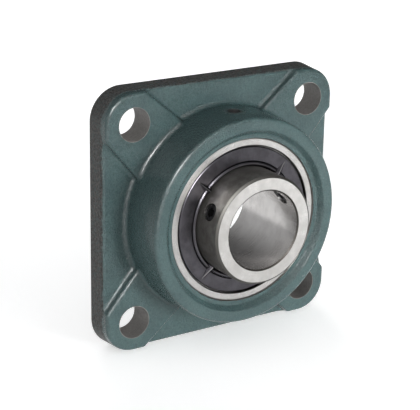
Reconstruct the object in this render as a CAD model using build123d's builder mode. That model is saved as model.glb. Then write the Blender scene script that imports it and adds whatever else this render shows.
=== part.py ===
"""Four-bolt square-flange bearing unit, 55 mm bore, set-screw locking.

Millimetres. The origin is the centre of the mounting face, on the shaft axis. The nose of the
unit points along -Y, the grease port is on top (+Z), and +X is to the right seen from the nose.
"Height" below is the distance in front of the mounting face, that is along -Y.
"""
from build123d import *
import os
from math import cos, radians, sin, sqrt, tan

os.makedirs("parts", exist_ok=True)

# ---- driving dimensions: housing -------------------------------------------------------------
flange_side = 185.0
bolt_spacing = 140.0
bolt_hole_radius = 11.5
boss_height = 20.0            # flange thickness at the bolt bosses and straps
panel_height = 14.5           # flange thickness at the four recessed panels
strap_half_width = 21.5       # half width of a strap at its bolt
strap_flare = 5.0             # each side of a strap opens by this angle towards the hub
flange_draft = 4.5
step_draft = 12.0
flange_edge_radius = 2.6
step_foot_radius = 3.0
recess_overrun = 8.0          # how far a recess's cutter runs past the flange
hub_foot_radius = 3.4
housing_depth = 52.0          # mounting face to the raised rim of the hub
hub_radius = 72.5             # just under the rounded rim
hub_base_radius = 73.6
rim_inner_radius = 64.0       # inner edge of the raised rim
rim_edge_radius = 3.0
rim_slope_radius = 1.5        # top of the slope inside the rim
lip_foot_radius = 1.8         # foot of that slope
lip_height = 48.0             # flat lip round the mouth of the seat
lip_outer_radius = 60.6
seat_centre = 30.0            # height of the middle of the spherical seat
seat_radius = 60.0
seat_half_width = 17.5
seat_back_chamfer = 1.5
slot_clearance = 0.1
slot_width = 34.8             # loading slots, just wider than the outer ring
port_height = 32.0
port_radius = 4.3             # tapping hole of an R1/8 thread
port_depth = 9.0
through = 5.0                 # spare length of a cut that has to pass a wall
port_drill_radius = 2.0

# ---- driving dimensions: insert --------------------------------------------------------------
bore_radius = 27.5
inner_radius = 37.9
inner_back = 5.0              # height of the inner ring's back face
inner_front = 71.0            # height of the inner ring's front face
outer_half_width = 17.0
seat_clearance = 0.12
ball_radius = 10.319
ball_count = 8
pitch_radius = 43.75
ball_clearance = 0.15
groove_radius = 10.73         # 52 % of the ball diameter
land_radius = 50.4            # outer ring's shoulders
seal_step = 12.4              # from the ball plane to the seal's seat
seal_groove_radius = 53.4
mouth_radius = 52.3           # outer ring's bore in front of the seal
screw_height = 57.7
screw_angles = (156.5, 36.5)
screw_radius = 5.95
screw_length = 9.0
screw_tip_gap = 0.4           # tip of a loose screw to the shaft
screw_hole_radius = 6.05
socket_across_flats = 6.0
cage_inner_radius = 40.9
cage_outer_radius = 46.6
cage_sheet = 1.2
pocket_clearance = 0.25
rivet_radius = 1.3
rivet_head_radius = 2.4
slinger_sheet = 1.0
slinger_radius = 51.4
dart_count = 4
dart_angle = 48.0             # first dart, measured from +X towards +Z
pin_radius = 2.5
pin_clearance = 0.04
pin_tilt_room = 2.6           # free travel of the pin each way along its slot
pin_seat_radius = 56.0        # bottom of the pin's hole in the outer ring
pin_length = 6.4
pin_end_gap = 0.3
pin_chamfer = 0.4

FRONT = Plane.XZ              # FRONT.offset(height) faces the nose; its axes are X and Z
MERIDIAN = Plane(origin=(0, 0, 0), x_dir=(1, 0, 0), z_dir=(0, 0, -1))     # (radius, height)
BALL_PLANE = FRONT.offset(seat_centre)
INSERT_MERIDIAN = Plane(origin=(0, -seat_centre, 0), x_dir=(1, 0, 0), z_dir=(0, 0, -1))


def sphere_half_chord(radius, distance):
    """Radius of the circle that a plane cuts from a sphere."""
    return sqrt(radius**2 - distance**2)


def radial_plane(angle, radius, height):
    """Plane at a radius, facing outwards, with its local Y along the unit's height."""
    c = cos(radians(angle))
    s = sin(radians(angle))
    return Plane(origin=(radius * c, -height, radius * s), x_dir=(-s, 0, c), z_dir=(c, 0, s))


def save(part, name):
    part.label = name
    export_step(part, f"parts/{name}.step")


# ---- housing ---------------------------------------------------------------------------------
# One panel recess, cut down from strap height: a triangle whose tip hides under the hub. Its two
# slanting sides are the sides of the straps.
bolt_offset = bolt_spacing / 2
strap_slope = tan(radians(45 - strap_flare))
strap_edge_rise = strap_half_width / cos(radians(45 - strap_flare))
recess_tip = bolt_offset + strap_edge_rise - bolt_offset * strap_slope
recess_outer = flange_side / 2 + recess_overrun
recess_half = (recess_outer - recess_tip) / strap_slope

with BuildPart() as recess:
    with BuildSketch(FRONT.offset(boss_height)):
        with BuildLine():
            Polyline((0, recess_tip), (recess_half, recess_outer), (-recess_half, recess_outer), close=True)
        make_face()
    extrude(amount=panel_height - boss_height, taper=step_draft)
    foot_edges = recess.faces().sort_by(Axis.Y)[-1].edges()
    fillet(foot_edges, step_foot_radius)

seat_opening = sphere_half_chord(seat_radius, seat_half_width)
seat_back = seat_centre - seat_half_width
seat_front = seat_centre + seat_half_width
mouth_chamfer = lip_height - seat_front
hub_corners = (
    (hub_radius, rim_edge_radius), (rim_inner_radius, rim_slope_radius), (lip_outer_radius, lip_foot_radius),
)


def on_flange_rim(edge):
    """Edges round the outside of the flange and along the straps that are rounded off."""
    middle = edge @ 0.5
    at_side = max(abs(middle.X), abs(middle.Z)) > flange_side / 2 - 1.5
    on_top = abs(middle.Y + boss_height) < 0.01
    away_from_hub = Vector(middle.X, 0, middle.Z).length > hub_base_radius + 5
    return away_from_hub and (on_top or (at_side and -boss_height < middle.Y <= -panel_height))


def at_hub_foot(edge):
    """Edges where the hub rises from the straps and the panels."""
    points = [edge @ 0, edge @ 0.5, edge @ 1]
    close = all(abs(Vector(p.X, 0, p.Z).length - hub_base_radius) < 1.5 for p in points)
    return close and -boss_height - 1 < points[1].Y < 0.5 - panel_height


with BuildPart() as housing:
    with BuildSketch(FRONT):
        RectangleRounded(flange_side, flange_side, (flange_side - bolt_spacing) / 2)
    extrude(amount=boss_height, taper=flange_draft)
    for quarter in range(4):
        add(recess.part.rotate(Axis.Y, 90 * quarter), mode=Mode.SUBTRACT)

    # Hub: nearly straight side, rounded raised rim, slope down to the flat lip.
    with BuildSketch(MERIDIAN) as hub_section:
        with BuildLine():
            Polyline(
                (0, 1), (hub_base_radius, 1), (hub_base_radius, panel_height), (hub_radius, housing_depth),
                (rim_inner_radius, housing_depth), (lip_outer_radius, lip_height), (0, lip_height),
                close=True,
            )
        make_face()
        for corner, radius in hub_corners:
            fillet(hub_section.vertices().filter_by(lambda v: abs(v.X - corner) < 0.01), radius)
    revolve(axis=Axis.Y)
    fillet(housing.edges().filter_by(on_flange_rim), flange_edge_radius)
    fillet(housing.edges().filter_by(at_hub_foot), hub_foot_radius)

    # Bolt holes.
    with BuildSketch(FRONT):
        with GridLocations(bolt_spacing, bolt_spacing, 2, 2):
            Circle(bolt_hole_radius)
    extrude(amount=boss_height, mode=Mode.SUBTRACT)

    # Spherical seat with its mouth, and the bore behind it.
    with BuildSketch(MERIDIAN):
        with BuildLine():
            Polyline(
                (seat_opening, seat_front), (seat_opening + mouth_chamfer, lip_height),
                (seat_opening + mouth_chamfer, housing_depth + 1), (0, housing_depth + 1), (0, -1),
                (seat_opening + seat_back_chamfer, -1), (seat_opening + seat_back_chamfer, 0),
                (seat_opening, seat_back_chamfer), (seat_opening, seat_back),
            )
            ThreePointArc((seat_opening, seat_back), (seat_radius, seat_centre), (seat_opening, seat_front))
        make_face()
    revolve(axis=Axis.Y, mode=Mode.SUBTRACT)

    # Loading slots: the insert goes in edgewise from behind, then turns square.
    with BuildSketch(FRONT):
        Circle(seat_radius + slot_clearance)
        Rectangle(3 * seat_radius, slot_width, mode=Mode.INTERSECT)
    extrude(amount=seat_centre, mode=Mode.SUBTRACT)

    # Slot for the stop pin, long enough for the insert to tilt.
    with BuildSketch(radial_plane(-90, pin_seat_radius, seat_centre)):
        SlotOverall(2 * (pin_radius + pin_tilt_room), 2 * (pin_radius + slot_clearance), rotation=90)
    extrude(amount=pin_length + 1, mode=Mode.SUBTRACT)

    # Grease port: tapping hole with a countersunk mouth, then a drilling to the seat.
    with BuildSketch(radial_plane(90, hub_base_radius - port_depth, port_height)):
        Circle(port_radius)
    extrude(amount=port_depth + through, mode=Mode.SUBTRACT)
    with BuildSketch(radial_plane(90, seat_radius - through, port_height)):
        Circle(port_drill_radius)
    extrude(amount=2 * through + port_drill_radius, mode=Mode.SUBTRACT)
save(housing.part, "housing")


# ---- outer ring ------------------------------------------------------------------------------
outer_sphere = seat_radius - seat_clearance
face_outer = sphere_half_chord(outer_sphere, outer_half_width)
outer_race = pitch_radius + ball_radius + ball_clearance
race_half_width = sqrt(groove_radius**2 - (groove_radius - outer_race + land_radius)**2)
edge_break = 0.6
mouth_break = 0.5
seal_groove_front = 14.0      # from the ball plane
seal_groove_lip = 14.2
grease_hole_radius = 1.2
grease_groove = (2.0, 11.0)
grease_groove_depth = 0.8
grease_hole_offset = 9.8

with BuildPart() as outer_ring:
    with BuildSketch(INSERT_MERIDIAN):
        with BuildLine():
            Polyline(
                (face_outer, outer_half_width - edge_break / 2),
                (face_outer - edge_break, outer_half_width), (mouth_radius + mouth_break, outer_half_width),
                (mouth_radius, outer_half_width - mouth_break), (mouth_radius, seal_groove_lip),
                (seal_groove_radius, seal_groove_front),
                (seal_groove_radius, seal_step), (land_radius, seal_step), (land_radius, race_half_width),
            )
            ThreePointArc(
                (land_radius, race_half_width), (outer_race, 0), (land_radius, -race_half_width),
            )
            Polyline(
                (land_radius, -race_half_width), (land_radius, -seal_step), (seal_groove_radius, -seal_step),
                (seal_groove_radius, -seal_groove_front), (mouth_radius, -seal_groove_lip),
                (mouth_radius, mouth_break - outer_half_width),
                (mouth_radius + mouth_break, -outer_half_width), (face_outer - edge_break, -outer_half_width),
                (face_outer, edge_break / 2 - outer_half_width),
            )
            ThreePointArc(
                (face_outer, edge_break / 2 - outer_half_width), (outer_sphere, 0),
                (face_outer, outer_half_width - edge_break / 2),
            )
        make_face()
    revolve(axis=Axis.Y)
    with BuildSketch(BALL_PLANE.offset(grease_groove[0])):
        Circle(outer_sphere + 1)
        Circle(outer_sphere - grease_groove_depth, mode=Mode.SUBTRACT)
    extrude(amount=grease_groove[1] - grease_groove[0], mode=Mode.SUBTRACT)
    for angle in (45, 225):
        with BuildSketch(radial_plane(angle, land_radius - 1, seat_centre + grease_hole_offset)):
            Circle(grease_hole_radius)
        extrude(amount=outer_sphere - land_radius + 2, mode=Mode.SUBTRACT)
    with BuildSketch(radial_plane(-90, pin_seat_radius, seat_centre)):
        Circle(pin_radius + pin_clearance)
    extrude(amount=outer_sphere - pin_seat_radius + 1, mode=Mode.SUBTRACT)
save(outer_ring.part, "outer_ring")

# ---- inner ring ------------------------------------------------------------------------------
inner_race = pitch_radius - ball_radius - ball_clearance
inner_race_half = sqrt(groove_radius**2 - (groove_radius - inner_radius + inner_race)**2)
front_chamfer = 1.3
bore_chamfer = 0.8

with BuildPart() as inner_ring:
    with BuildSketch(MERIDIAN):
        with BuildLine():
            Polyline(
                (inner_radius, seat_centre + inner_race_half), (inner_radius, inner_front - front_chamfer),
                (inner_radius - front_chamfer, inner_front), (bore_radius + bore_chamfer, inner_front),
                (bore_radius, inner_front - bore_chamfer), (bore_radius, inner_back + bore_chamfer),
                (bore_radius + bore_chamfer, inner_back), (inner_radius - front_chamfer, inner_back),
                (inner_radius, inner_back + front_chamfer), (inner_radius, seat_centre - inner_race_half),
            )
            ThreePointArc(
                (inner_radius, seat_centre - inner_race_half), (inner_race, seat_centre),
                (inner_radius, seat_centre + inner_race_half),
            )
        make_face()
    revolve(axis=Axis.Y)
    for angle in screw_angles:
        with BuildSketch(radial_plane(angle, bore_radius - 2, screw_height)):
            Circle(screw_hole_radius)
        extrude(amount=inner_radius - bore_radius + 4, mode=Mode.SUBTRACT)
save(inner_ring.part, "inner_ring")

# ---- set screws ------------------------------------------------------------------------------
screw_tip = bore_radius + screw_tip_gap
socket_depth = 5.0
screw_end_chamfer = 0.9
cup_radius = 3.4
cup_depth = 1.2

for number, angle in enumerate(screw_angles, start=1):
    with BuildPart() as set_screw:
        with BuildSketch(radial_plane(angle, screw_tip, screw_height)):
            Circle(screw_radius)
        extrude(amount=screw_length)
        ends = set_screw.edges().filter_by(GeomType.CIRCLE)
        chamfer(ends, screw_end_chamfer)
        with BuildSketch(radial_plane(angle, screw_tip + screw_length - socket_depth, screw_height)):
            RegularPolygon(socket_across_flats / 2, 6, major_radius=False)
        extrude(amount=socket_depth, mode=Mode.SUBTRACT)
        with BuildSketch(radial_plane(angle, screw_tip, screw_height)):
            Circle(cup_radius)
        extrude(amount=cup_depth, taper=45, mode=Mode.SUBTRACT)
    save(set_screw.part, f"set_screw_{number}")

# ---- balls and cage --------------------------------------------------------------------------
ball_angles = [360 / ball_count * index for index in range(ball_count)]

for number, angle in enumerate(ball_angles, start=1):
    with BuildPart(radial_plane(angle, pitch_radius, seat_centre)) as ball:
        Sphere(ball_radius)
    save(ball.part, f"ball_{number}")

pocket_radius = ball_radius + pocket_clearance
first_rivet = 180 / ball_count
rivet_head_height = 1.1
ball_planes = [radial_plane(angle, pitch_radius, seat_centre) for angle in ball_angles]

for name, side in (("cage_front", 1), ("cage_back", -1)):
    with BuildPart() as cage:
        with Locations(ball_planes):
            Sphere(pocket_radius + cage_sheet)
        with BuildSketch(BALL_PLANE):
            Circle(cage_outer_radius)
        extrude(amount=side * cage_sheet)
        with BuildSketch(BALL_PLANE):
            Circle(cage_outer_radius)
            Circle(cage_inner_radius, mode=Mode.SUBTRACT)
        extrude(amount=side * (pocket_radius + 2 * cage_sheet), mode=Mode.INTERSECT)
        with Locations(ball_planes):
            Sphere(pocket_radius, mode=Mode.SUBTRACT)
        with BuildSketch(BALL_PLANE.offset(-2 * cage_sheet)):
            with PolarLocations(pitch_radius, ball_count, start_angle=first_rivet):
                Circle(rivet_radius)
        extrude(amount=4 * cage_sheet, mode=Mode.SUBTRACT)
    save(cage.part, name)

with BuildPart() as cage_rivets:
    with BuildSketch(BALL_PLANE.offset(-cage_sheet)):
        with PolarLocations(pitch_radius, ball_count, start_angle=first_rivet):
            Circle(rivet_radius)
    extrude(amount=2 * cage_sheet)
    back_of_cage = Plane(BALL_PLANE.offset(-cage_sheet).origin, z_dir=(0, 1, 0))
    for head_plane in (BALL_PLANE.offset(cage_sheet), back_of_cage):
        with BuildSketch(head_plane):
            with PolarLocations(pitch_radius, ball_count, start_angle=first_rivet):
                Circle(rivet_head_radius)
        extrude(amount=rivet_head_height, taper=35)
save(cage_rivets.part, "cage_rivets")

# ---- seals and slingers ----------------------------------------------------------------------
# Each of these is drawn once, as a section in front of the ball plane, and again as its mirror
# image behind it.
lip_clearance = 0.08
seal_outer = seal_groove_radius - 0.05
slinger_bore = inner_radius + 0.02
core_section = [
    (seal_outer, 13.1), (seal_outer, 13.9), (41.0, 13.9), (41.0, 13.1),
]
rubber_section = [
    (seal_outer, seal_step), (seal_outer, 13.1), (41.0, 13.1), (41.0, 13.9),
    (40.2, 13.9), (inner_radius + lip_clearance, 14.1), (inner_radius + lip_clearance, 13.6),
    (39.2, 13.0), (inner_radius + lip_clearance, 12.5), (inner_radius + lip_clearance + 0.4, 12.1),
    (40.6, seal_step),
]
dart_root = (38.3, 19.7)      # radius and height above the ball plane of a dart's inner end
dart_tip = (49.2, 16.5)
dart_base = 16.1
dart_half_width = 3.5
dart_tip_half_width = 0.15
slinger_section = [
    (slinger_radius, 14.8), (slinger_radius, 15.9), (slinger_radius - 0.5, 16.3), (42.0, 17.0), (41.3, 16.6),
    (40.9, 17.3), (40.3, 17.9), (39.7, 18.05), (39.1, 17.7), (38.5, 16.9), (slinger_bore, 16.2),
    (slinger_bore, 14.5), (inner_radius + slinger_sheet, 14.5), (inner_radius + slinger_sheet, 16.0),
    (39.6, 16.9), (40.1, 16.6), (40.6, 15.6), (41.3, 15.5), (42.0, 16.0),
    (slinger_radius - slinger_sheet, 15.3), (slinger_radius - slinger_sheet, 14.8),
]


def save_front_and_back(part, name):
    """The same piece serves both sides of the insert, turned round."""
    save(part, f"front_{name}")
    with BuildPart() as back:
        mirror(part, about=BALL_PLANE)
    save(back.part, f"back_{name}")


for name, section in (("seal_core", core_section), ("seal_rubber", rubber_section)):
    with BuildPart() as seal:
        with BuildSketch(INSERT_MERIDIAN):
            with BuildLine():
                Polyline(section, close=True)
            make_face()
        revolve(axis=Axis.Y)
    save_front_and_back(seal.part, name)

with BuildPart() as slinger:
    with BuildSketch(INSERT_MERIDIAN):
        with BuildLine():
            Polyline(slinger_section, close=True)
        make_face()
    revolve(axis=Axis.Y)
    for index in range(dart_count):
        angle = dart_angle + 360 / dart_count * index
        for radius, top, half in ((*dart_root, dart_half_width), (*dart_tip, dart_tip_half_width)):
            with BuildSketch(radial_plane(angle, radius, seat_centre + dart_base)):
                with BuildLine():
                    Polyline((-half, 0), (half, 0), (0, top - dart_base), close=True)
                make_face()
        loft()
save_front_and_back(slinger.part, "slinger")

# ---- stop pin --------------------------------------------------------------------------------
with BuildPart() as stop_pin:
    with BuildSketch(radial_plane(-90, pin_seat_radius + pin_end_gap, seat_centre)):
        Circle(pin_radius)
    extrude(amount=pin_length)
    chamfer(stop_pin.edges().filter_by(GeomType.CIRCLE), pin_chamfer)
save(stop_pin.part, "stop_pin")
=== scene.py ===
import math

import bpy
from mathutils import Matrix, Vector


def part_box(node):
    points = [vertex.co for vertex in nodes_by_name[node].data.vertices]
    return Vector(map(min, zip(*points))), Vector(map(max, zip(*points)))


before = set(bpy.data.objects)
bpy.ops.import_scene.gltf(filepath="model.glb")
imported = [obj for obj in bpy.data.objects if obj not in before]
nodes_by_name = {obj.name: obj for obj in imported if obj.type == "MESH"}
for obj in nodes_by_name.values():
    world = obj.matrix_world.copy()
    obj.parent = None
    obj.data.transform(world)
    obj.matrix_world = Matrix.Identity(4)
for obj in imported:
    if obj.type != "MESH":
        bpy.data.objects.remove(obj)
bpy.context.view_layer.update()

# Materials are drawn in millimetres. A height is a distance in front of the mounting face.
MM = 0.001
HOUSING_LOW, HOUSING_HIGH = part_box("housing")
HALF_SIDE = HOUSING_HIGH.x / MM
CORNER = 22.5            # flange corner radius
DRAFT = 0.079            # slope of the flange's sides
BOLT = 70.0              # bolt holes, from the shaft axis along x and z
HOLE_RADIUS = 11.5
HUB_FOOT = 75.2          # where the hub's foot meets the flange
SEAT_CENTRE = 30.0
SEAT_RADIUS = 60.0
MOUTH_HEIGHT = 45.0      # the seat ends here and the painted lip begins
PORT_HEIGHT = 32.0
PORT_RADIUS = 4.3
RING_MIDDLE = 38.0       # half way along the inner ring
RING_CHAMFER = 69.5      # on the outer chamfer, distance from the middle plus radius
BORE_CHAMFER = 4.7       # on the bore's chamfer, distance from the middle less radius
OUTER_RADIUS = 37.8
BORE_RADIUS = 27.5
DART_ANGLE = 48.0        # first dart, from +x towards +z


# ---- node helpers ----------------------------------------------------------------------------
class Shader:
    """A procedural material in object coordinates, given in millimetres."""

    def __init__(self, name):
        self.material = bpy.data.materials.new(name)
        self.material.use_nodes = True
        self.tree = self.material.node_tree
        self.tree.nodes.clear()
        self.bsdf = self.tree.nodes.new("ShaderNodeBsdfPrincipled")
        self.out = self.tree.nodes.new("ShaderNodeOutputMaterial")
        self.tree.links.new(self.bsdf.outputs["BSDF"], self.out.inputs["Surface"])
        coord = self.tree.nodes.new("ShaderNodeTexCoord")
        self.position = self.vector("SCALE", coord.outputs["Object"], scale=1000.0)
        split = self.add("ShaderNodeSeparateXYZ", {"Vector": self.position})
        self.x, y, self.z = split["X"], split["Y"], split["Z"]
        self.height = self.math("MULTIPLY", y, -1.0)

    def add(self, kind, inputs, **settings):
        node = self.tree.nodes.new(kind)
        for key, value in settings.items():
            setattr(node, key, value)
        for key, value in inputs.items():
            self.put(node.inputs[key], value)
        return node.outputs

    def put(self, socket, value):
        if isinstance(value, bpy.types.NodeSocket):
            self.tree.links.new(value, socket)
        else:
            socket.default_value = value

    def math(self, operation, a, b=0.0, clamp=False):
        node = self.tree.nodes.new("ShaderNodeMath")
        node.operation = operation
        node.use_clamp = clamp
        self.put(node.inputs[0], a)
        self.put(node.inputs[1], b)
        return node.outputs[0]

    def vector(self, operation, a, b=None, scale=None):
        node = self.tree.nodes.new("ShaderNodeVectorMath")
        node.operation = operation
        self.put(node.inputs[0], a)
        if b is not None:
            self.put(node.inputs[1], b)
        if scale is not None:
            self.put(node.inputs["Scale"], scale)
        return node.outputs["Value" if operation in ("LENGTH", "DISTANCE", "DOT_PRODUCT") else "Vector"]

    def combine(self, x=0.0, y=0.0, z=0.0):
        return self.add("ShaderNodeCombineXYZ", {"X": x, "Y": y, "Z": z})["Vector"]

    def hypot(self, a, b):
        return self.vector("LENGTH", self.combine(a, b))

    def step(self, value, start, end):
        """0 below start, 1 above end, or the other way round if end is the lower."""
        node = self.tree.nodes.new("ShaderNodeMapRange")
        node.interpolation_type = "SMOOTHSTEP"
        low, high = min(start, end), max(start, end)
        self.put(node.inputs["Value"], value)
        node.inputs["From Min"].default_value = low
        node.inputs["From Max"].default_value = high
        node.inputs["To Min"].default_value = 0.0 if start < end else 1.0
        node.inputs["To Max"].default_value = 1.0 if start < end else 0.0
        return node.outputs["Result"]

    def noise(self, size, detail=3.0, roughness=0.55, vector=None, distortion=0.0):
        """Noise with lumps of about this size in mm, from 0 to 1."""
        return self.add("ShaderNodeTexNoise", {
            "Vector": self.position if vector is None else vector, "Scale": 1.0 / size,
            "Detail": detail, "Roughness": roughness, "Distortion": distortion,
        })["Fac"]

    def blend(self, factor, a, b):
        node = self.tree.nodes.new("ShaderNodeMix")
        node.data_type = "RGBA"
        self.put(node.inputs[0], factor)
        self.put(node.inputs[6], a if isinstance(a, bpy.types.NodeSocket) else (*a, 1.0))
        self.put(node.inputs[7], b if isinstance(b, bpy.types.NodeSocket) else (*b, 1.0))
        return node.outputs[2]

    def level(self, factor, a, b):
        node = self.tree.nodes.new("ShaderNodeMix")
        node.data_type = "FLOAT"
        self.put(node.inputs[0], factor)
        self.put(node.inputs[2], a)
        self.put(node.inputs[3], b)
        return node.outputs[0]

    def bump(self, height, depth, normal=None, strength=1.0):
        """Bump whose height of 1 stands for this depth in mm."""
        inputs = {"Height": height, "Distance": depth * MM, "Strength": strength}
        if normal is not None:
            inputs["Normal"] = normal
        return self.add("ShaderNodeBump", inputs)["Normal"]

    def finish(self, colour, roughness, normal, metallic=0.0, **fixed):
        self.put(self.bsdf.inputs["Base Color"], colour)
        self.put(self.bsdf.inputs["Roughness"], roughness)
        self.put(self.bsdf.inputs["Normal"], normal)
        self.put(self.bsdf.inputs["Metallic"], metallic)
        for key, value in fixed.items():
            self.bsdf.inputs[key.replace("_", " ")].default_value = value
        return self.material


def either(shader, *masks):
    total = masks[0]
    for mask in masks[1:]:
        total = shader.math("MAXIMUM", total, mask)
    return total


# ---- housing ---------------------------------------------------------------------------------
GREEN_LIGHT = (0.044, 0.084, 0.084)
GREEN_DARK = (0.034, 0.067, 0.068)
GREEN_WORN = (0.075, 0.110, 0.108)
BARE_SIDE = (0.011, 0.011, 0.010)
BARE_HOLE = (0.105, 0.101, 0.096)
MACHINED = (0.42, 0.41, 0.39)


def housing_material():
    """Green enamel, with bare casting on the flange's sides and turned metal on the back and seat."""
    s = Shader("green_enamel_on_casting")
    hub = s.hypot(s.x, s.z)
    ax, az = s.math("ABSOLUTE", s.x), s.math("ABSOLUTE", s.z)

    hole = s.hypot(s.math("SUBTRACT", ax, BOLT), s.math("SUBTRACT", az, BOLT))
    hole_wall = s.step(hole, HOLE_RADIUS + 0.45, HOLE_RADIUS + 0.25)

    straight = HALF_SIDE - CORNER
    qx = s.math("MAXIMUM", s.math("SUBTRACT", ax, straight), 0.0)
    qz = s.math("MAXIMUM", s.math("SUBTRACT", az, straight), 0.0)
    past_corner = s.math("SUBTRACT", s.hypot(qx, qz), CORNER)
    outline = s.math("ADD", past_corner, s.math("MULTIPLY", s.height, DRAFT))
    wander = s.math("ADD", s.noise(14.0, 4.0), s.math("MULTIPLY", s.noise(1.3, 2.0), 0.55))
    edge_height = s.math("ADD", s.height, s.math("MULTIPLY", s.math("SUBTRACT", wander, 0.78), 7.0))
    on_side = s.step(outline, -0.9, -0.5)
    side = s.math("MULTIPLY", on_side, s.step(edge_height, 15.6, 12.6))

    back = s.step(s.height, 0.25, 0.05)
    ball = s.vector("DISTANCE", s.position, (0.0, -SEAT_CENTRE, 0.0))
    seat = either(
        s,
        s.math("MULTIPLY", s.step(ball, SEAT_RADIUS + 0.45, SEAT_RADIUS + 0.25),
               s.step(hub, SEAT_RADIUS + 1.0, SEAT_RADIUS + 0.8)),
        s.math("MULTIPLY", s.step(hub, SEAT_RADIUS + 0.6, SEAT_RADIUS + 0.4),
               s.step(s.height, MOUTH_HEIGHT, MOUTH_HEIGHT - 1.0)),
    )
    port = s.hypot(s.x, s.math("SUBTRACT", s.height, PORT_HEIGHT))
    above = s.step(s.z, 55.0, 58.0)
    port_wall_shade = s.math("MULTIPLY", s.step(port, PORT_RADIUS + 0.45, PORT_RADIUS + 0.15), above)
    patch_edge = s.math("ADD", port, s.math("MULTIPLY", s.math("SUBTRACT", s.noise(2.4), 0.5), 5.0))
    port_patch = s.math("MULTIPLY", s.math("MULTIPLY", s.step(patch_edge, 7.6, 5.2), above), 0.45)

    # Sand-cast skin under the enamel: lumps of a few millimetres, grains of one, fine orange peel.
    lumps = s.noise(7.0, 3.0)
    grains = s.noise(1.3, 2.0, 0.5)
    peel = s.noise(0.8, 2.0, 0.5)
    cells = s.add("ShaderNodeTexVoronoi", {"Vector": s.position, "Scale": 0.42, "Randomness": 1.0})
    pit = s.step(cells["Distance"], 0.16, 0.02)

    cloud = s.noise(26.0, 4.0, 0.6)
    tone = s.blend(s.step(cloud, 0.36, 0.66), GREEN_DARK, GREEN_LIGHT)
    speck = s.step(grains, 0.42, 0.66)
    tone = s.blend(s.math("MULTIPLY", speck, 0.22), tone, GREEN_WORN)
    fine = s.math("MULTIPLY", s.step(s.noise(1.0, 2.0), 0.56, 0.40), 0.30)
    tone = s.blend(fine, tone, (0.020, 0.042, 0.043))
    grime = s.math("MULTIPLY", s.step(s.noise(2.6, 3.0, 0.7), 0.52, 0.30), 0.22)
    tone = s.blend(grime, tone, (0.018, 0.034, 0.034))
    # Painted shade: a darker strip along the crease where the hub's foot meets the flange.
    from_foot = s.math("ABSOLUTE", s.math("SUBTRACT", hub, HUB_FOOT))
    foot = s.math("MULTIPLY", s.step(from_foot, 1.9, 0.4), s.step(s.height, 24.0, 21.0))
    tone = s.blend(s.math("MULTIPLY", foot, 0.25), tone, (0.020, 0.036, 0.036))

    rough_cast = s.blend(s.step(s.noise(1.8, 4.0, 0.75), 0.44, 0.62), BARE_SIDE, (0.052, 0.049, 0.044))
    spray = s.math("MULTIPLY", s.step(s.noise(1.9, 3.0), 0.50, 0.62), 0.7)
    rough_cast = s.blend(spray, rough_cast, (0.026, 0.044, 0.043))
    drilled = s.blend(s.noise(1.8, 3.0), BARE_HOLE, (0.205, 0.197, 0.186))
    lathe = s.noise(0.35, 3.0, 0.6, vector=s.combine(hub, s.height, 0.0))
    turned = s.blend(lathe, (0.30, 0.295, 0.285), MACHINED)

    colour = s.blend(side, tone, rough_cast)
    colour = s.blend(hole_wall, colour, drilled)
    colour = s.blend(port_patch, colour, (0.040, 0.040, 0.037))
    # Painted shade: the grease port's wall is painted near black for the shade inside the hole.
    colour = s.blend(port_wall_shade, colour, (0.006, 0.006, 0.006))
    machined = either(s, back, seat)
    machined = s.math("MULTIPLY", machined, s.math("SUBTRACT", 1.0, hole_wall))
    colour = s.blend(machined, colour, turned)

    bare = either(s, side, hole_wall, port_patch)
    roughness = s.level(s.noise(9.0, 3.0), 0.20, 0.30)
    roughness = s.level(bare, roughness, 0.90)
    roughness = s.level(machined, roughness, 0.34)
    metallic = s.level(machined, s.level(hole_wall, 0.0, 0.35), 1.0)

    cast_relief = s.math("ADD", s.math("MULTIPLY", grains, 0.46), s.math("MULTIPLY", peel, 0.30))
    cast_relief = s.math("SUBTRACT", cast_relief, s.math("MULTIPLY", pit, 0.35))
    coarse = s.math("MULTIPLY", s.noise(2.0), 1.6)
    cast_relief = s.math("ADD", cast_relief, s.math("MULTIPLY", side, coarse))
    soft = s.math("SUBTRACT", 1.0, machined)
    normal = s.bump(s.math("MULTIPLY", lumps, soft), 0.32)
    normal = s.bump(s.math("MULTIPLY", cast_relief, soft), 1.5, normal)
    normal = s.bump(s.math("MULTIPLY", lathe, machined), 0.02, normal)
    return s.finish(colour, roughness, normal, metallic, Specular_IOR_Level=0.34, IOR=1.5,
                    Coat_Weight=0.30, Coat_Roughness=0.14)


# ---- metals of the insert --------------------------------------------------------------------
def outer_ring_material():
    """Ground steel: fine lines round the shaft's axis, a faint film, a mouth painted dark as shade."""
    s = Shader("ground_outer_ring")
    hub = s.hypot(s.x, s.z)
    rings = s.noise(0.22, 4.0, 0.7, vector=s.combine(hub, s.height, 0.0))
    wide = s.noise(1.6, 2.0, 0.5, vector=s.combine(hub, s.height, 0.0))
    film = s.noise(11.0, 4.0, 0.6)
    colour = s.blend(s.step(film, 0.34, 0.70), (0.50, 0.49, 0.48), (0.42, 0.41, 0.40))
    colour = s.blend(s.math("MULTIPLY", s.step(rings, 0.52, 0.72), 0.35), colour, (0.34, 0.33, 0.32))
    # Painted shade: a near-black band at the ring's mouth, in the gap next to the slinger.
    mouth = s.math("MULTIPLY", s.step(hub, 52.95, 52.75), s.step(hub, 51.6, 51.8))
    colour = s.blend(s.math("MULTIPLY", mouth, 0.9), colour, (0.030, 0.029, 0.028))
    roughness = s.level(s.noise(5.0, 3.0), 0.24, 0.34)
    roughness = s.math("ADD", roughness, s.math("MULTIPLY", s.math("SUBTRACT", rings, 0.5), 0.16))
    relief = s.math("ADD", s.math("MULTIPLY", rings, 0.7), s.math("MULTIPLY", wide, 0.5))
    return s.finish(colour, roughness, s.bump(relief, 0.012), 1.0)


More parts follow.
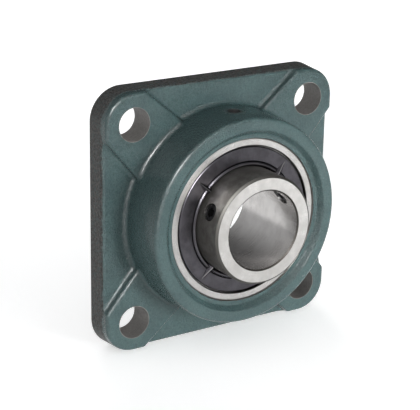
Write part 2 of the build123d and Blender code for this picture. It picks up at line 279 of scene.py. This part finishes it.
def inner_ring_material():
    """Ground faces and bore, a browner outside with a few spots, dark chamfers."""
    s = Shader("ground_inner_ring")
    hub = s.hypot(s.x, s.z)
    rings = s.noise(0.20, 4.0, 0.7, vector=s.combine(hub, s.height, 0.0))
    film = s.noise(9.0, 4.0, 0.6)
    outside = s.step(hub, OUTER_RADIUS - 0.6, OUTER_RADIUS)
    inside = s.step(hub, BORE_RADIUS + 0.5, BORE_RADIUS + 0.2)
    face = s.blend(s.step(film, 0.35, 0.70), (0.53, 0.52, 0.505), (0.45, 0.44, 0.425))
    skin = s.blend(s.step(film, 0.35, 0.65), (0.180, 0.174, 0.164), (0.116, 0.110, 0.102))
    bore = s.blend(s.step(film, 0.35, 0.65), (0.60, 0.585, 0.575), (0.52, 0.505, 0.495))
    colour = s.blend(outside, face, skin)
    colour = s.blend(inside, colour, bore)
    colour = s.blend(s.math("MULTIPLY", s.step(rings, 0.54, 0.74), 0.35), colour, (0.24, 0.23, 0.22))
    end = s.math("ABSOLUTE", s.math("SUBTRACT", s.height, RING_MIDDLE))
    outer_chamfer = s.step(s.math("ADD", end, hub), RING_CHAMFER - 0.3, RING_CHAMFER - 0.1)
    bore_chamfer = s.step(s.math("SUBTRACT", end, hub), BORE_CHAMFER - 0.3, BORE_CHAMFER - 0.12)
    colour = s.blend(outer_chamfer, colour, (0.085, 0.082, 0.076))
    colour = s.blend(bore_chamfer, colour, (0.050, 0.046, 0.042))
    rust = s.math("MULTIPLY", s.step(s.noise(2.3, 4.0, 0.75), 0.63, 0.76), s.math("MULTIPLY", outside, 0.6))
    colour = s.blend(rust, colour, (0.13, 0.095, 0.065))
    roughness = s.level(outside, s.level(film, 0.24, 0.34), s.level(film, 0.42, 0.56))
    roughness = s.level(inside, roughness, s.level(film, 0.22, 0.29))
    roughness = s.level(either(s, outer_chamfer, bore_chamfer), roughness, 0.55)
    roughness = s.math("ADD", roughness, s.math("MULTIPLY", s.math("SUBTRACT", rings, 0.5), 0.14))
    normal = s.bump(rings, 0.010)
    return s.finish(colour, roughness, normal, 1.0)


def slinger_material():
    """Dark pressed sheet, painted highlights on dart ridges and bead, painted shade on flanks, grooves and
    rim.
    """
    s = Shader("pressed_gunmetal_sheet")
    hub = s.hypot(s.x, s.z)
    turn = math.radians(DART_ANGLE)
    x_cos, x_sin = (s.math("MULTIPLY", s.x, part) for part in (math.cos(turn), math.sin(turn)))
    z_cos, z_sin = (s.math("MULTIPLY", s.z, part) for part in (math.cos(turn), math.sin(turn)))
    along_1 = s.math("ABSOLUTE", s.math("ADD", x_cos, z_sin))
    along_2 = s.math("ABSOLUTE", s.math("SUBTRACT", z_cos, x_sin))
    along, across = s.math("MAXIMUM", along_1, along_2), s.math("MINIMUM", along_1, along_2)
    width = s.math("MULTIPLY", s.math("SUBTRACT", 49.6, along), 0.33)
    on_dart = s.step(s.math("SUBTRACT", across, width), 0.15, -0.15)
    # Painted highlight: a lighter line along each dart's ridge.
    ridge_highlight = s.math("MULTIPLY", on_dart, s.step(across, 0.55, 0.15))
    # Painted shade: dark rings in the groove outside the bead and in the gap inside it.
    groove = either(
        s,
        s.step(s.math("ABSOLUTE", s.math("SUBTRACT", hub, 41.35)), 0.55, 0.20),
        s.step(hub, 39.0, 38.5),
    )
    # Painted highlight: a lighter ring along the bead's crest.
    bead = s.step(s.math("ABSOLUTE", s.math("SUBTRACT", hub, 39.75)), 0.60, 0.15)
    # Painted shade: the sheet's outer rim is darkened next to the outer ring.
    edge = s.step(hub, 50.7, 51.2)
    film = s.noise(7.0, 4.0, 0.6)
    colour = s.blend(s.step(film, 0.34, 0.68), (0.092, 0.088, 0.098), (0.064, 0.061, 0.068))
    scuff = s.math("MULTIPLY", s.step(s.noise(1.6, 4.0, 0.75), 0.62, 0.76), 0.4)
    colour = s.blend(scuff, colour, (0.16, 0.155, 0.16))
    colour = s.blend(s.math("MULTIPLY", bead, 0.28), colour, (0.22, 0.21, 0.215))
    # Painted shade: the grooves, the dart flanks and the outer rim are darkened.
    dark = either(s, groove, s.math("MULTIPLY", on_dart, 0.75), s.math("MULTIPLY", edge, 0.6))
    colour = s.blend(s.math("MULTIPLY", dark, 0.85), colour, (0.012, 0.011, 0.013))
    colour = s.blend(s.math("MULTIPLY", ridge_highlight, 0.35), colour, (0.36, 0.35, 0.35))
    roughness = s.level(s.noise(3.0, 3.0), 0.26, 0.38)
    normal = s.bump(s.noise(1.1, 3.0), 0.03)
    normal = s.bump(s.noise(6.0, 2.0), 0.08, normal)
    return s.finish(colour, roughness, normal, 1.0)


def screw_material():
    s = Shader("black_oxide_screw")
    film = s.noise(1.4, 4.0, 0.65)
    colour = s.blend(s.step(film, 0.35, 0.68), (0.034, 0.034, 0.036), (0.018, 0.018, 0.019))
    rub = s.math("MULTIPLY", s.step(s.noise(0.7, 3.0), 0.62, 0.74), 0.5)
    colour = s.blend(rub, colour, (0.11, 0.105, 0.10))
    roughness = s.level(s.noise(1.0, 3.0), 0.34, 0.50)
    return s.finish(colour, roughness, s.bump(s.noise(0.5, 3.0), 0.02), 1.0)


def rubber_material():
    s = Shader("moulded_black_rubber")
    hub = s.hypot(s.x, s.z)
    dust = s.math("MULTIPLY", s.step(s.noise(2.2, 4.0, 0.7), 0.52, 0.76), 0.45)
    colour = s.blend(dust, (0.016, 0.016, 0.017), (0.060, 0.057, 0.053))
    rings = s.noise(0.6, 2.0, 0.5, vector=s.combine(hub, s.height, 0.0))
    normal = s.bump(s.math("ADD", rings, s.math("MULTIPLY", s.noise(0.4), 0.6)), 0.03)
    return s.finish(colour, s.level(s.noise(3.0), 0.55, 0.72), normal)


def plain_steel(name, light, dark, low, high, grain):
    s = Shader(name)
    film = s.noise(grain * 5.0, 4.0, 0.6)
    colour = s.blend(s.step(film, 0.35, 0.68), light, dark)
    roughness = s.level(s.noise(grain * 2.5, 3.0), low, high)
    return s.finish(colour, roughness, s.bump(s.noise(grain, 3.0), 0.01), 1.0)


# Each CAD node keeps its own mesh and takes a finish of its own.
polished = plain_steel("polished_ball_steel", (0.66, 0.65, 0.64), (0.58, 0.57, 0.56), 0.06, 0.12, 0.6)
pressed = plain_steel("pressed_cage_steel", (0.48, 0.465, 0.44), (0.36, 0.345, 0.32), 0.30, 0.42, 0.9)
plated = plain_steel("phosphated_seal_core", (0.26, 0.255, 0.25), (0.17, 0.168, 0.165), 0.38, 0.52, 0.9)
pin_steel = plain_steel("ground_stop_pin", (0.50, 0.49, 0.48), (0.40, 0.39, 0.38), 0.24, 0.34, 0.5)
rubber = rubber_material()
gunmetal = slinger_material()
black_oxide = screw_material()
finishes = {
    "housing": housing_material(),
    "outer_ring": outer_ring_material(),
    "inner_ring": inner_ring_material(),
    "front_slinger": gunmetal, "back_slinger": gunmetal,
    "front_seal_rubber": rubber, "back_seal_rubber": rubber,
    "front_seal_core": plated, "back_seal_core": plated,
    "cage_front": pressed, "cage_back": pressed, "cage_rivets": pressed,
    "set_screw_1": black_oxide, "set_screw_2": black_oxide,
    "stop_pin": pin_steel,
}
for name, node in nodes_by_name.items():
    finish = finishes.get(name, polished)
    for material_slot in node.material_slots:
        material_slot.material = finish

# ---- floor -----------------------------------------------------------------------------------
FLOOR_HALF = 6.0
floor_mesh = bpy.data.meshes.new("floor")
floor_level = HOUSING_LOW.z
floor_mesh.from_pydata(
    [(x, y, floor_level) for x, y in ((-FLOOR_HALF, -FLOOR_HALF), (FLOOR_HALF, -FLOOR_HALF),
                                      (FLOOR_HALF, FLOOR_HALF), (-FLOOR_HALF, FLOOR_HALF))],
    [], [(0, 1, 2, 3)],
)
floor = bpy.data.objects.new("floor", floor_mesh)
bpy.context.scene.collection.objects.link(floor)
paper = Shader("white_paper")
shade = paper.blend(paper.noise(90.0, 3.0), (0.90, 0.90, 0.90), (0.93, 0.93, 0.93))
paper.bsdf.inputs["Emission Color"].default_value = (1.0, 1.0, 1.0, 1.0)
floor_mesh.materials.append(
    paper.finish(shade, 0.85, paper.bump(paper.noise(2.0), 0.01), Emission_Strength=0.48))

# ---- lights ----------------------------------------------------------------------------------
world = bpy.data.worlds.new("studio")
world.use_nodes = True
tree = world.node_tree
background = tree.nodes["Background"]
direction = tree.nodes.new("ShaderNodeTexCoord")
toward_back = tree.nodes.new("ShaderNodeVectorMath")
front_to_back = tree.nodes.new("ShaderNodeMapRange")
seen = tree.nodes.new("ShaderNodeLightPath")
room = tree.nodes.new("ShaderNodeMix")
room.data_type = "FLOAT"
front_to_back.interpolation_type = "SMOOTHSTEP"
toward_back.operation = "DOT_PRODUCT"
toward_back.inputs[1].default_value = (0.66, 0.64, 0.34)
front_to_back.inputs["From Min"].default_value = 0.0
front_to_back.inputs["From Max"].default_value = 1.0
front_to_back.inputs["To Min"].default_value = 0.58
front_to_back.inputs["To Max"].default_value = 0.10
room.inputs[3].default_value = 0.95
background.inputs["Color"].default_value = (0.98, 0.99, 1.0, 1.0)
tree.links.new(direction.outputs["Generated"], toward_back.inputs[0])
tree.links.new(toward_back.outputs["Value"], front_to_back.inputs["Value"])
tree.links.new(front_to_back.outputs["Result"], room.inputs[2])
tree.links.new(seen.outputs["Is Camera Ray"], room.inputs[0])
tree.links.new(room.outputs[0], background.inputs["Strength"])
bpy.context.scene.world = world


def softbox(name, place, aim, size, power, spread=180.0, diffuse=True, glossy=True):
    data = bpy.data.lights.new(name, "AREA")
    data.shape = "SQUARE"
    data.size = size
    data.energy = power
    data.spread = math.radians(spread)
    lamp = bpy.data.objects.new(name, data)
    lamp.location = place
    lamp.rotation_mode = "QUATERNION"
    lamp.rotation_quaternion = (Vector(aim) - Vector(place)).to_track_quat("-Z", "Y")
    lamp.visible_camera = False
    lamp.visible_diffuse = diffuse
    lamp.visible_glossy = glossy
    bpy.context.scene.collection.objects.link(lamp)


softbox("key", (0.38, -1.30, 0.02), (0.04, -0.03, -0.06), 0.45, 1.38, spread=40.0, glossy=False)
softbox("low_right", (0.30, -0.42, 0.0), (0.02, 0.0, -0.03), 0.18, 0.4, glossy=False)
softbox("edge_light", (-0.46, -0.73, 0.49), (0.0, 0.0, 0.0), 0.36, 20.0, diffuse=False)
softbox("back_fill", (0.5, 1.4, 0.9), (0.0, 0.0, 0.0), 0.8, 9.0, glossy=False)

# ---- camera ----------------------------------------------------------------------------------
AZIMUTH, ELEVATION, ROLL = -33.129, 18.931, 1.129
DISTANCE, RIGHT_OFFSET, UP_OFFSET = 1.007484, 0.002421, -0.002934
LENS, SENSOR = 122.669, 36.0

az, el, roll = (math.radians(angle) for angle in (AZIMUTH, ELEVATION, ROLL))
toward = Vector((math.sin(az) * math.cos(el), -math.cos(az) * math.cos(el), math.sin(el)))
level_right = (-toward).cross(Vector((0, 0, 1))).normalized()
level_up = level_right.cross(-toward)
right = math.cos(roll) * level_right + math.sin(roll) * level_up
up = -math.sin(roll) * level_right + math.cos(roll) * level_up
lens = bpy.data.cameras.new("camera")
lens.lens, lens.sensor_width = LENS, SENSOR
lens.clip_start, lens.clip_end = 0.05, 50.0
camera = bpy.data.objects.new("camera", lens)
axes = Matrix((right, up, toward)).transposed().to_4x4()
camera.matrix_world = Matrix.Translation(toward * DISTANCE + right * RIGHT_OFFSET + up * UP_OFFSET) @ axes
bpy.context.scene.collection.objects.link(camera)
bpy.context.scene.camera = camera
bpy.context.scene.view_settings.view_transform = "Standard"
